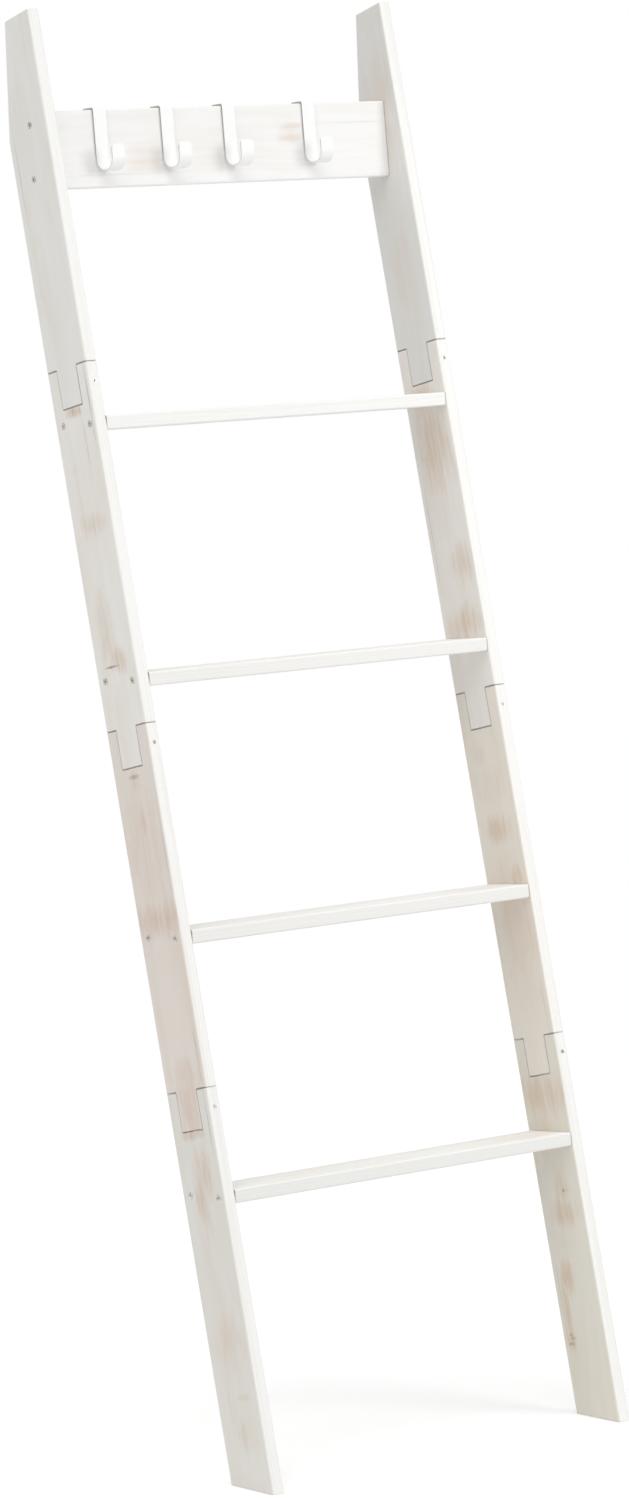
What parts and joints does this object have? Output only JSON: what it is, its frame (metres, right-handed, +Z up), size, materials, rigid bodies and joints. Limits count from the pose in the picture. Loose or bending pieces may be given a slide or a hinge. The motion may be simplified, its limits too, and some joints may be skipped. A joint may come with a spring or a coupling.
{
  "type": "blanket ladder",
  "caption": "Leaning wooden blanket ladder: jointed plank rails, flat rungs to drape blankets over and a top board with sliding strip hooks.",
  "frame": {"origin": "on the floor, under the middle of the ladder's bounding box", "axes": "+X across the ladder to the right as seen from the front, +Y towards the wall it leans on, +Z up"},
  "size_m": [0.5, 0.3759, 1.5649],
  "materials": {
    "whitewashed_pine": "whitewashed, matte, faint grain and knots showing",
    "hook_enamel": "white powder coat, satin",
    "screw_steel": "zinc plated, satin"
  },
  "bodies": {
    "frame": {"left_rail_bottom": "whitewashed_pine", "left_rail_lower_middle": "whitewashed_pine", "left_rail_upper_middle": "whitewashed_pine", "left_rail_top": "whitewashed_pine", "right_rail_bottom": "whitewashed_pine", "right_rail_lower_middle": "whitewashed_pine", "right_rail_upper_middle": "whitewashed_pine", "right_rail_top": "whitewashed_pine", "rung_1": "whitewashed_pine", "rung_2": "whitewashed_pine", "rung_3": "whitewashed_pine", "rung_4": "whitewashed_pine", "hook_board": "whitewashed_pine", "rung_screws": "screw_steel", "board_screws": "screw_steel", "joint_screws": "screw_steel"},
    "hook_1": {"hook_1": "hook_enamel"},
    "hook_2": {"hook_2": "hook_enamel"},
    "hook_3": {"hook_3": "hook_enamel"},
    "hook_4": {"hook_4": "hook_enamel"}
  },
  "joints": [
    {"name": "hook_1_slide", "type": "slide", "parent": "frame", "child": "hook_1", "axis": [1, 0, 0], "range_m": [-0.0628, 0.03635]},
    {"name": "hook_2_slide", "type": "slide", "parent": "frame", "child": "hook_2", "axis": [1, 0, 0], "range_m": [-0.03635, 0.0335]},
    {"name": "hook_3_slide", "type": "slide", "parent": "frame", "child": "hook_3", "axis": [1, 0, 0], "range_m": [-0.0335, 0.04675]},
    {"name": "hook_4_slide", "type": "slide", "parent": "frame", "child": "hook_4", "axis": [1, 0, 0], "range_m": [-0.04675, 0.101]}
  ]
}
